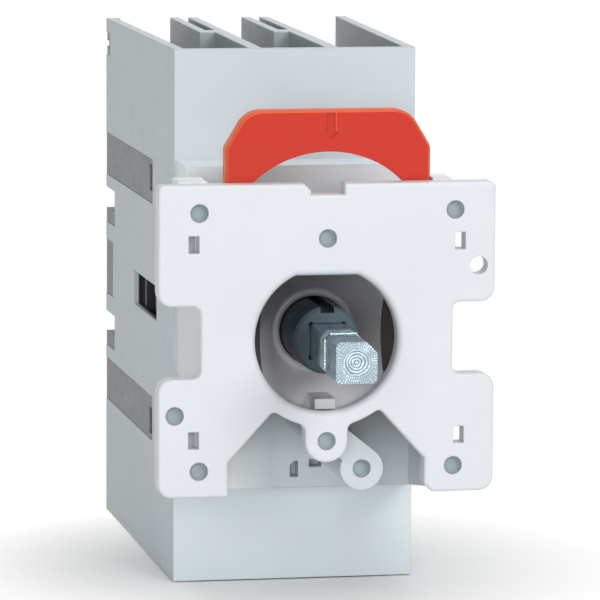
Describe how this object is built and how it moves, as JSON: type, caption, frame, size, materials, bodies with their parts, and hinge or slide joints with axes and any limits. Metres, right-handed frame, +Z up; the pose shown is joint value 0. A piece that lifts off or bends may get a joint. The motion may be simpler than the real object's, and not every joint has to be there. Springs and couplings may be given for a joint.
{
  "type": "rotary disconnect switch",
  "caption": "Compact rotary switch disconnector with a pierced square mounting plate, a square drive shaft, an arched release slide and a deep ribbed terminal body.",
  "frame": {"origin": "centre of the hole pattern, on the front face of the mounting plate, where the shaft's axis passes", "axes": "+X right seen from the front, +Y into the switch along the shaft away from the handle, +Z up"},
  "size_m": [0.0474, 0.1055, 0.077],
  "materials": {
    "white_plastic": "satin moulded",
    "grey_plastic": "fine satin moulded",
    "base_plastic": "fine satin moulded",
    "orange_plastic": "satin moulded",
    "dark_plastic": "satin moulded",
    "zinc_steel": "turned and milled, zinc plated",
    "spring_steel": "drawn wire",
    "copper_bar": "stamped, dull",
    "plated_screw": "zinc plated"
  },
  "bodies": {
    "housing": {"mounting_plate": "white_plastic", "front_housing": "white_plastic", "rear_housing": "grey_plastic", "rear_cover": "base_plastic", "side_vanes": "dark_plastic", "line_contact_1": "copper_bar", "line_contact_2": "copper_bar", "line_contact_3": "copper_bar", "load_contact_1": "copper_bar", "load_contact_2": "copper_bar", "load_contact_3": "copper_bar", "line_clamp_1": "plated_screw", "line_clamp_2": "plated_screw", "line_clamp_3": "plated_screw", "load_clamp_1": "plated_screw", "load_clamp_2": "plated_screw", "load_clamp_3": "plated_screw", "terminal_screws": "plated_screw", "front_housing_screws": "plated_screw", "cover_screws": "plated_screw", "snap_spring": "spring_steel"},
    "rotor": {"drive_shaft": "zinc_steel", "shaft_coupler": "dark_plastic", "contact_drum": "dark_plastic", "contact_blade_1": "copper_bar", "contact_blade_2": "copper_bar", "contact_blade_3": "copper_bar"},
    "release": {"release_slide": "orange_plastic"}
  },
  "joints": [
    {"name": "shaft_turn", "type": "hinge", "parent": "housing", "child": "rotor", "pos_m": [0, 0, 0], "axis": [0, 1, 0], "range_deg": [0, 90]},
    {"name": "slide_travel", "type": "slide", "parent": "housing", "child": "release", "axis": [0, 0, -1], "range_m": [0, 0.0095]}
  ]
}
